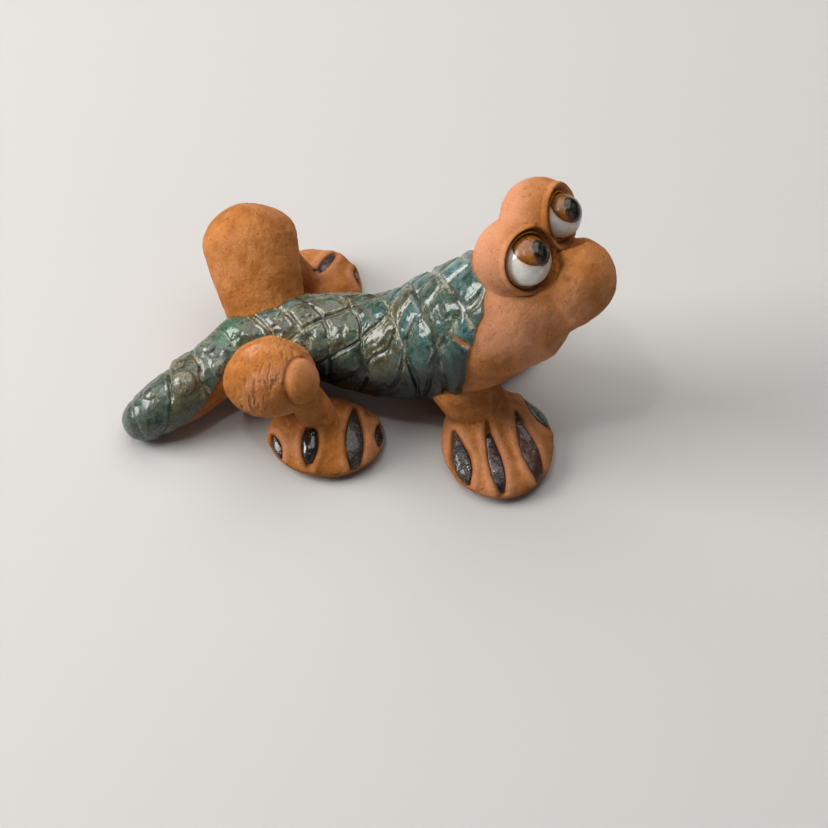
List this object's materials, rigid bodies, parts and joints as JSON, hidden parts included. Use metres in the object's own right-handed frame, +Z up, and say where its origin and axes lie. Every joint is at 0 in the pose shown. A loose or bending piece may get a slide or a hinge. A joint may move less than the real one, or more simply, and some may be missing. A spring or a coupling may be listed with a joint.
{
  "type": "clay animal figurine",
  "caption": "Small hand-modelled terracotta frog-like creature with a tail, glossy teal scaled back, bulging eyes and paddle feet.",
  "frame": {"origin": "the middle of the bounding box's bottom face, on the surface the soles stand on", "axes": "+X towards the snout, along the longest side; +Y towards the creature's left; +Z up"},
  "size_m": [0.053, 0.0326, 0.0309],
  "materials": {
    "terracotta": "bare fired brown-orange clay, matte, fine grain",
    "teal_glaze": "glossy mottled teal-green glaze that thins to tan on raised edges",
    "white_glaze": "glossy white glaze",
    "amber_glaze": "glossy transparent amber-brown glaze",
    "dark_glaze": "glossy near-black brown glaze"
  },
  "bodies": {
    "root": {"body_roll": "terracotta", "back_glaze": "teal_glaze", "right_eye_mound": "terracotta", "right_eyeball": "white_glaze", "right_iris": "amber_glaze", "right_pupil": "dark_glaze", "right_thigh": "terracotta", "right_hind_foot": "terracotta", "right_front_leg": "terracotta", "right_hind_toe_bead_1": "dark_glaze", "right_hind_toe_bead_2": "dark_glaze", "right_hind_toe_bead_3": "dark_glaze", "right_hind_toe_bead_4": "dark_glaze", "right_front_toe_bead_1": "dark_glaze", "right_front_toe_bead_2": "dark_glaze", "right_front_toe_bead_3": "dark_glaze", "right_front_toe_bead_4": "dark_glaze", "left_eye_mound": "terracotta", "left_eyeball": "white_glaze", "left_iris": "amber_glaze", "left_pupil": "dark_glaze", "left_thigh": "terracotta", "left_hind_foot": "terracotta", "left_front_leg": "terracotta", "left_hind_toe_bead_1": "dark_glaze", "left_hind_toe_bead_2": "dark_glaze", "left_hind_toe_bead_3": "dark_glaze", "left_hind_toe_bead_4": "dark_glaze", "left_front_toe_bead_1": "dark_glaze", "left_front_toe_bead_2": "dark_glaze", "left_front_toe_bead_3": "dark_glaze", "left_front_toe_bead_4": "dark_glaze"}
  },
  "joints": []
}
